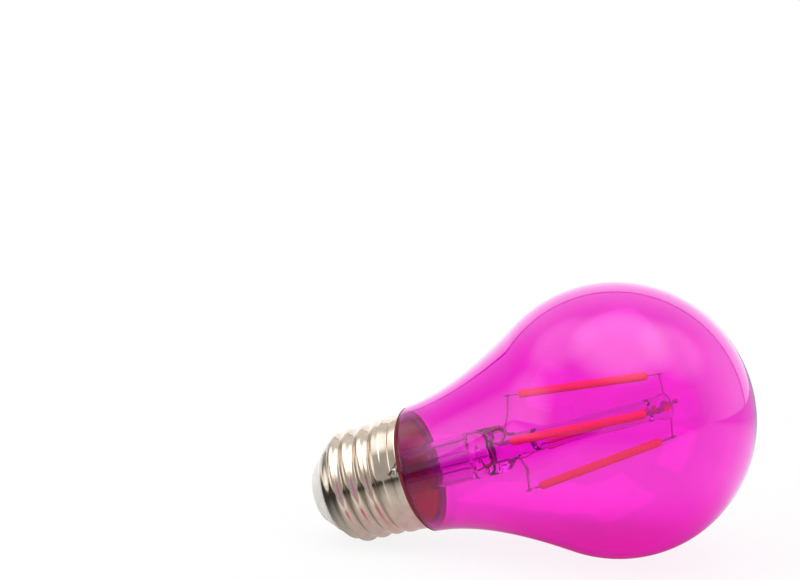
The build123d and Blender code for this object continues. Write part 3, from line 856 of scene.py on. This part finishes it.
class BULB_OT_envelope(bpy.types.Operator):
    """Blown magenta envelope, from its crown to the seal inside the cap"""

    bl_idname = "bulb.envelope"
    bl_label = "Glass envelope"

    def execute(self, context):
        wall = sizes().glass_wall / MM
        shoulder = (sizes().neck_radius / MM - SHOULDER_R, NECK_HEIGHT - SHOULDER_R)
        within = (shoulder[0] - 0.85, shoulder[1] + 0.2)
        outer = joined(envelope_line(0), line(shoulder, SEAL, 8))
        inner = joined(envelope_line(wall), line(within, (SEAL[0] - wall, SEAL[1]), 8))
        colour = tuple(colours().glass)
        # A lamp's light crosses two faces of each wall at a slant, so each takes most of the tint.
        shade = (*(0.94 * c**0.8 for c in colour[:3]), 1.0)
        # Blown in a mould and tinted right through: deep where the eye looks along the wall, and
        # with long faint waves that bend what it mirrors.
        finish = glass("blown_magenta_glass", colour, shade, 1.5, 14.0, 0.06)
        skin = revolved(outer + inner[::-1])
        piece("envelope", skin, finish, "magenta_glass", "glass_envelope")
        return {"FINISHED"}


class BULB_OT_stem(bpy.types.Operator):
    """Drawn glass stem with its flare, pinch, rod and button, and the exhaust tube"""

    bl_idname = "bulb.stem"
    bl_label = "Glass stem"

    def execute(self, context):
        # Drawn as tube and worked hot: colourless and glossy, with short ripples.
        shade = linear("#F2F7F5")
        clear = glass("drawn_clear_glass", linear("#F6FAF8"), shade, 1.52, 3.0, 0.05)
        bore = revolved(self.rod_bore(), STEM_SEGMENTS)
        piece("stem", self.skin(), clear, "clear_glass", "glass_stem", bore=bore)
        exhaust = joined(
            [(0, EXHAUST_FOOT - EXHAUST_R)],
            arc((0, EXHAUST_FOOT), EXHAUST_R, -86, 0, 12),
            line((EXHAUST_R, EXHAUST_FOOT), (EXHAUST_R, EXHAUST_TOP), 12),
            line((EXHAUST_BORE_R, EXHAUST_TOP), (EXHAUST_BORE_R, 13.8), 12),
            [(0.5, 13.2), (0, 13.0)],
        )
        piece("exhaust", revolved(exhaust, 48), clear, "clear_glass", "exhaust_tube")
        return {"FINISHED"}

    def pinch(self):
        """The pinch's rings. Hot glass rounds its own corners, so each takes after the next."""
        rings = []
        for lower, upper in zip(PINCH_RINGS, PINCH_RINGS[1:]):
            for i in range(10):
                rings.append(tuple(p + (q - p) * (i / 10) for p, q in zip(lower, upper)))
        for _ in range(12):
            middle = [
                (height, (a0 + 2 * a + a1) / 4, (b0 + 2 * b + b1) / 4)
                for (_, a0, b0), (height, a, b), (_, a1, b1) in zip(rings, rings[1:], rings[2:])
            ]
            rings = [rings[0], *middle, rings[-1]]
        return rings

    def skin(self):
        """The stem from its button down to its flare, and back up inside to the exhaust hole."""
        top = joined(
            [(0, 85.1)],
            arc((0, 81.1), 4.0, 87, 53.13, 8),
            bezier(((2.4, 84.3), (2.95, 83.8), (3.05, 82.6), (ROD_R, 81.7)), 10),
            line((ROD_R, 81.7), (ROD_R, PINCH_RINGS[0][0]), 24),
        )
        bend = (TUBE_R + FLARE_BEND, FLARE_TOP)
        inner_r = TUBE_R - TUBE_WALL
        tube = joined(
            line((TUBE_R, PINCH_RINGS[-1][0]), (TUBE_R, FLARE_TOP), 14),
            arc(bend, FLARE_BEND, 180, 270, 20),
            [(FLARE_R, SEAL[1]), (FLARE_R, SEAL[1] - TUBE_WALL)],
            arc(bend, FLARE_BEND + TUBE_WALL, 270, 180, 20),
            line((inner_r, FLARE_TOP), (inner_r, 37.4), 12),
            arc((inner_r - 2.0, 37.4), 2.0, 0, 90, 8),
            [(EXHAUST_BORE_R, EXHAUST_TOP), (EXHAUST_BORE_R, 42.1), (0.5, 42.3), (0, 42.3)],
        )
        round_rings = [[(height, r, r) for r, height in run] for run in (top[:-1], tube)]
        ovals = [
            oval(a, b, height, STEM_SEGMENTS)
            for height, a, b in (*round_rings[0], *self.pinch(), *round_rings[1])
        ]
        return rings_to_mesh([[pressed(*point) for point in ring] for ring in ovals])

    def rod_bore(self):
        """The hollow above the pinch, where the stem is tube, sealed at both ends."""
        foot, top = ROD_BORE
        return joined(
            [(0, foot - ROD_BORE_R)],
            arc((0, foot), ROD_BORE_R, -87, 0, 10),
            line((ROD_BORE_R, foot), (ROD_BORE_R, top), 16),
            arc((0, top), ROD_BORE_R, 0, 87, 10),
            [(0, top + ROD_BORE_R)],
        )


class BULB_OT_wires(bpy.types.Operator):
    """Drawn nickel wires from the cap and the button to the filaments"""

    bl_idname = "bulb.wires"
    bl_label = "Wires"

    def execute(self, context):
        # Drawn and then heated in the sealing fire, so it is grey rather than bright.
        finish = metal("drawn_nickel_wire", "#B4A79E", "#D2C6BC", 0.42, 0.8, 0.01)
        tree = wire_tree()
        for node, (radius, points) in WIRES.items():
            name = f"{node}_bent"
            values = {
                "Radius": radius * MM * WIRE_SHARE,
                "Bend": WIRE_BEND * MM,
                "Material": finish,
            }
            data = grown(name, path(node, points), tree, values)
            finished(name, data, finish, "wire_nickel", node, sharp=50)
        dress(finish, "neutral_wire")
        # Clad in copper where it is sealed into the pinch, so it is red there.
        copper = metal("copper_clad_seal_wire", "#7A2E2A", "#A84A40", 0.45, 0.8, 0.01)
        turns = [2 * pi * i / 48 for i in range(48)]
        high, low = SEAL_LOOP_LEAN
        lie, rise = Vector((low, 0, high)), Vector((high, 0, -low))
        long, short = SEAL_LOOP_SIZE
        loop = [SEAL_LOOP + lie * long * cos(t) + rise * short * sin(t) for t in turns]
        radii = [0.15 + 0.3 * max(0.0, sin(t)) ** 1.5 for t in turns]
        piece("seal_loop", bar(loop, radii, True), copper, "wire_nickel", sharp=60)
        crook = [Vector((x, SEAL_Y, height)) for x, height in bezier(SEAL_CROOK, 24)]
        radii = [0.08 + 0.28 * sin(pi * i / 24) for i in range(25)]
        piece("seal_crook", bar(crook, radii), copper, "wire_nickel", sharp=60)
        return {"FINISHED"}


class BULB_OT_filaments(bpy.types.Operator):
    """Four coated filaments, their strips and their spot welds"""

    bl_idname = "bulb.filaments"
    bl_label = "Filaments"

    def execute(self, context):
        silicone = phosphor_silicone()
        tree = filament_tree()
        values = {
            "Radius": sizes().filament_radius,
            "Pitch": sizes().diode_pitch,
            "Material": silicone,
        }
        for key, (lower, upper) in FILAMENTS.items():
            name = f"filament_{key}"
            run = (Vector(upper) - Vector(lower)).normalized()
            ends = [Vector(lower) + run * LOWER_BARE, Vector(upper) - run * UPPER_BARE]
            data = grown(name, path(name, ends), tree, values)
            finished(name, data, silicone, "filament_coating", f"led_{name}", sharp=60)
        # Stamped from thin rolled steel: flat and half bright.
        strip = metal("stamped_steel_strip", "#A39C92", "#C2BBB0", 0.3, 0.6, 0.01)
        dress(strip, *[f"filament_strip_{key}" for key in FILAMENTS])
        welds = placed("weld_places", ([p for pair in FILAMENTS.values() for p in pair], []))
        data = grown("spot_welds", welds, weld_tree(), {"Radius": WELD_R * MM, "Material": strip})
        finished("spot_welds", data, strip, "strip_steel", sharp=60)
        return {"FINISHED"}


class BULB_OT_shell(bpy.types.Operator):
    """Rolled screw shell with its thread, skirt and notched rim"""

    bl_idname = "bulb.shell"
    bl_label = "Screw shell"

    def execute(self, context):
        heights = [MOUTH_HEIGHT + THREAD_ROW * i for i in range(THREAD_ROWS)]
        heights += SKIRT_ROWS
        angles = [360 * i / SHELL_SEGMENTS for i in range(SHELL_SEGMENTS)]
        rings = []
        for inset, order in ((0.0, heights), (SHEET, heights[::-1])):
            for height in order:
                # The rim and the small end are slightly rounded, and the rim has a notch.
                rounded = inset == 0 and height in (RIM_HEIGHT, MOUTH_HEIGHT)
                trim = inset + (SHEET_EDGE if rounded else 0.0)
                ring = []
                for angle in angles:
                    notched = abs(angle - NOTCH_ANGLE) <= NOTCH_HALF
                    top = min(height, NOTCH_FOOT) if notched else height
                    ring.append(around(shell_radius(angle, height) - trim, angle, top))
                rings.append(ring)
        skin = rings_to_mesh(rings, closed=True)
        piece("shell", skin, nickel_plated_brass(), "nickel_brass", "screw_shell", sharp=50)
        return {"FINISHED"}


class BULB_OT_contact(bpy.types.Operator):
    """Moulded insulator and tinned centre contact"""

    bl_idname = "bulb.contact"
    bl_label = "Insulator and contact"

    def execute(self, context):
        # Each profile runs from the hole or the centre of its face outwards and back inside.
        nose = joined(
            line((1.5, 0.8), (6.1, 0.8), 6),
            arc((6.1, 1.4), 0.6, -90, -50, 6),
            line((6.49, 0.94), (9.4, 4.0), 8),
            arc((9.25, 4.14), 0.3, -20, 40, 4),
            [(9.5, 4.48), (9.2, 4.48), (9.2, 4.8), (10.4, 6.0), (10.4, 6.4), (1.5, 6.4)],
        )
        # Moulded in white thermoplastic: satin, faintly soft under light.
        white = solid("moulded_white_insulator", "#E9E6E0", "#F4F2EE", 0.34, 0.5, 0.01, soft=0.15)
        cone = revolved(nose, closed=True)
        piece("insulator_cone", cone, white, "insulator_white", "insulator")
        head = joined(
            [(0, 0)],
            line((0.3, 0), (3.7, 0.0), 6),
            arc((3.9, 0.75), 0.75, -90, -2, 8),
            [(4.75, 0.8), (1.5, 0.8), (1.5, 6.4), (2.3, 6.4)],
            line((2.3, 6.4), (2.0, 6.8), 2),
            [(0, 6.8)],
        )
        # Tinned by dipping, so it is silvery with a fine uneven skin.
        tin = metal("dipped_tin_contact", "#C4C1BA", "#DEDBD4", 0.4, 1.1, 0.03)
        piece("contact_head", revolved(head, 128), tin, "contact_metal", "centre_contact")
        return {"FINISHED"}


class BULB_OT_cement(bpy.types.Operator):
    """Basing cement between glass and shell, and the side solder"""

    bl_idname = "bulb.cement"
    bl_label = "Cement and solder"

    def execute(self, context):
        turn = (sizes().neck_radius / MM - SHOULDER_R, NECK_HEIGHT)
        clear, film = 0.04, 0.14         # of the glass: the cement's inner and outer face
        bead = arc(turn, SHOULDER_R + clear, -28, -90, 16)
        section = joined(
            bead,
            line((bead[-1][0] + clear, bead[-1][1]), (SEAL[0] + clear, SEAL[1]), 8),
            [(11.5, SEAL[1]), (11.5, 19.0), (12.95, 21.6), (12.95, RIM_HEIGHT)],
            [(13.24, RIM_HEIGHT), (13.38, RIM_HEIGHT + 0.12)],
            arc(turn, SHOULDER_R + film, -66, -30, 10),
        )
        skin = revolved(section, closed=True)
        piece("cement", skin, baked_cement(), "basing_cement", "basing_cement")
        # Soft solder, dabbed on by hand: bright, with a frosted and uneven skin.
        soft = metal("soft_solder", "#A9A8A4", "#CFCDC8", 0.24, 0.5, 0.03)
        drop = rings_to_mesh(self.dab())
        piece("solder_drop", drop, soft, "solder", "side_solder", sharp=70)
        return {"FINISHED"}

    def dab(self):
        """Rings of a low, ragged dab of solder that stands on the skirt."""
        outward = Vector(around(1, NOTCH_ANGLE, 0))
        sideways, along = Vector((-outward.y, outward.x, 0)), Vector((0, 0, 1))
        foot = Vector(around(*SOLDER_FOOT))
        rings, steps = [[foot + outward * 0.001]], 10
        for i in range(steps):
            tilt = pi / 2 * i / steps
            ring = []
            for j in range(32):
                way = Vector((cos(2 * pi * j / 32), sin(2 * pi * j / 32), 0))
                ragged = noise.noise(way * 1.7 + along * 3.7)
                reach = SOLDER_REACH * cos(tilt) * (1 + 0.45 * ragged)
                lumpy = 1 + 0.5 * noise.noise((way * reach + along * 1.3) * 1.9)
                ring.append(
                    foot
                    + sideways * reach * 1.15 * way.x
                    + along * reach * 0.85 * way.y
                    + outward * SOLDER_RISE * lumpy * sin(tilt) ** 0.8
                )
            rings.append(ring)
        return [*rings, [foot + outward * SOLDER_RISE]]


class BULB_OT_driver(bpy.types.Operator):
    """Materials of the driver's parts inside the cap"""

    bl_idname = "bulb.driver"
    bl_label = "Driver"

    def execute(self, context):
        # Glass-fibre laminate, pressed: dull, with a faint grain.
        dress(solid("glass_fibre_laminate", "#B9AE86", "#CFC59D", 0.55, 0.3, 0.01), "driver_board")
        # Extruded sleeve: smooth and milky.
        sleeve = solid("extruded_white_sleeve", "#D6D6D2", "#E8E8E4", 0.45, 0.8, 0.01, soft=0.1)
        dress(sleeve, "driver_sleeve")
        # Transfer-moulded epoxy: near black, with a fine blasted grain.
        epoxy = solid("moulded_black_epoxy", "#161617", "#242425", 0.6, 0.15, 0.01)
        dress(epoxy, "bridge_rectifier", "driver_chip", "chip_resistor_a", "chip_resistor_b")
        # Shrunk film: dark and glossy.
        film = solid("shrunk_dark_film", "#14161F", "#1D2130", 0.28, 0.6, 0.01)
        dress(film, "smoothing_capacitor")
        # Dipped lacquer: glossy with slight sags.
        dress(solid("dipped_lacquer", "#5C8579", "#76A095", 0.3, 0.7, 0.03), "fusible_resistor")
        # Fired ceramic: matt tan.
        ceramic = solid("fired_tan_ceramic", "#8D6A45", "#A9845B", 0.6, 0.2, 0.01)
        dress(ceramic, "ceramic_capacitor")
        return {"FINISHED"}


class BULB_OT_stage(bpy.types.Operator):
    """White paper, lamps, world and camera"""

    bl_idname = "bulb.stage"
    bl_label = "Stage"

    def execute(self, context):
        scene = context.scene
        scene.view_settings.view_transform = "Standard"
        self.paper(scene)
        self.world(scene)
        self.lamps(scene)
        self.camera(scene)
        return {"FINISHED"}

    def paper(self, scene):
        data = bpy.data.meshes.new("paper")
        data.from_pydata([(-3, -3, 0), (3, -3, 0), (3, 3, 0), (-3, 3, 0)], [], [(0, 1, 2, 3)])
        data.materials.append(studio_paper())
        paper = bpy.data.objects.new("paper", data)
        scene.collection.objects.link(paper)

    def world(self, scene):
        """White behind the bulb, and soft panels in a half-dark studio for gloss to mirror."""
        world = bpy.data.worlds.new("studio")
        world.use_nodes = True
        scene.world = world
        tree = world.node_tree
        tree.nodes.clear()
        ray = add(tree, "ShaderNodeLightPath").outputs
        seen = {0: ray["Is Camera Ray"], 1: ray["Is Transmission Ray"]}
        seen = add(tree, "ShaderNodeMath", seen, operation="MAXIMUM")
        way = add(tree, "ShaderNodeTexCoord").outputs["Generated"]
        split = add(tree, "ShaderNodeSeparateXYZ", {0: way}).outputs
        plain = marks(split["Z"], -0.1, 0.8, *PLAIN_LEVELS)
        plain = add(tree, "ShaderNodeMapRange", plain, **SMOOTH)
        total = marks(split["Y"], -0.3, 0.6, *MIRRORED_LEVELS)
        total = add(tree, "ShaderNodeMapRange", total, **SMOOTH)
        for toward, inner, outer, strength in MIRRORED_PANELS:
            facing = {0: way, 1: Vector(toward).normalized()}
            facing = add(tree, "ShaderNodeVectorMath", facing, operation="DOT_PRODUCT")
            edge, full = cos(radians(outer)), cos(radians(inner))
            panel = marks(facing.outputs["Value"], edge, full, 0.0, strength)
            panel = add(tree, "ShaderNodeMapRange", panel, **SMOOTH)
            total = add(tree, "ShaderNodeMath", {0: total, 1: panel}, operation="ADD")
        mirrored = {
            0: ray["Is Glossy Ray"],
            1: add(tree, "ShaderNodeBackground", {"Color": WHITE, "Strength": plain}),
            2: add(tree, "ShaderNodeBackground", {"Color": WHITE, "Strength": total}),
        }
        every = {
            0: seen,
            1: add(tree, "ShaderNodeMixShader", mirrored),
            2: add(tree, "ShaderNodeBackground", {"Color": WHITE, "Strength": 1.0}),
        }
        surface = add(tree, "ShaderNodeMixShader", every)
        add(tree, "ShaderNodeOutputWorld", {"Surface": surface})

    def lamps(self, scene):
        for name, place, size, power in LAMPS:
            lamp = bpy.data.lights.new(name, "AREA")
            lamp.shape = "RECTANGLE"
            lamp.size, lamp.size_y = size
            lamp.energy = power
            thing = bpy.data.objects.new(name, lamp)
            thing.location = place
            thing.rotation_euler = (LAMP_AIM - Vector(place)).to_track_quat("-Z", "Y").to_euler()
            thing.visible_glossy = False
            scene.collection.objects.link(thing)

    def camera(self, scene):
        turn, pitch, roll = (radians(angle) for angle in CAMERA_TURNS)
        spin = Matrix.Rotation(turn, 3, "Z")
        look = spin @ Vector((0, cos(pitch), -sin(pitch)))
        right = spin @ Vector((1, 0, 0))
        up = right.cross(look)
        level_right = right * cos(roll) + up * sin(roll)
        level_up = up * cos(roll) - right * sin(roll)
        data = bpy.data.cameras.new("camera")
        data.sensor_fit = "HORIZONTAL"
        data.sensor_width = SENSOR_WIDTH
        data.lens = FOCAL_PIXELS / FRAME_PIXELS * SENSOR_WIDTH
        data.clip_start = 0.01
        thing = bpy.data.objects.new("camera", data)
        basis = Matrix((level_right, level_up, -look)).transposed().to_4x4()
        basis.translation = TIP + AXIS * GLOBE_HEIGHT * MM + Vector(CAMERA_PLACE) * MM
        thing.matrix_world = basis
        scene.collection.objects.link(thing)
        scene.camera = thing


class BULB_PT_panel(bpy.types.Panel):
    """The bulb's pieces, sizes and colours"""

    bl_idname = "BULB_PT_panel"
    bl_label = "Filament bulb"
    bl_space_type = "VIEW_3D"
    bl_region_type = "UI"
    bl_category = "Bulb"

    def draw(self, context):
        for kind in OPERATORS:
            self.layout.operator(kind.bl_idname)
        for group in (sizes(), colours()):
            for name in group.__annotations__:
                self.layout.prop(group, name)


# In the order in which main calls them.
OPERATORS = (
    BULB_OT_stage,
    BULB_OT_envelope,
    BULB_OT_stem,
    BULB_OT_wires,
    BULB_OT_filaments,
    BULB_OT_shell,
    BULB_OT_contact,
    BULB_OT_cement,
    BULB_OT_driver,
)
CLASSES = (BulbSizes, BulbColours, *OPERATORS, BULB_PT_panel)


def register():
    for kind in CLASSES:
        bpy.utils.register_class(kind)
    bpy.types.Scene.bulb_sizes = PointerProperty(type=BulbSizes)
    bpy.types.Scene.bulb_colours = PointerProperty(type=BulbColours)


def unregister():
    del bpy.types.Scene.bulb_colours
    del bpy.types.Scene.bulb_sizes
    for kind in reversed(CLASSES):
        bpy.utils.unregister_class(kind)


def main():
    register()
    for step in OPERATORS:
        name = step.bl_idname.split(".")[1]
        getattr(bpy.ops.bulb, name)()


if __name__ == "__main__":
    main()
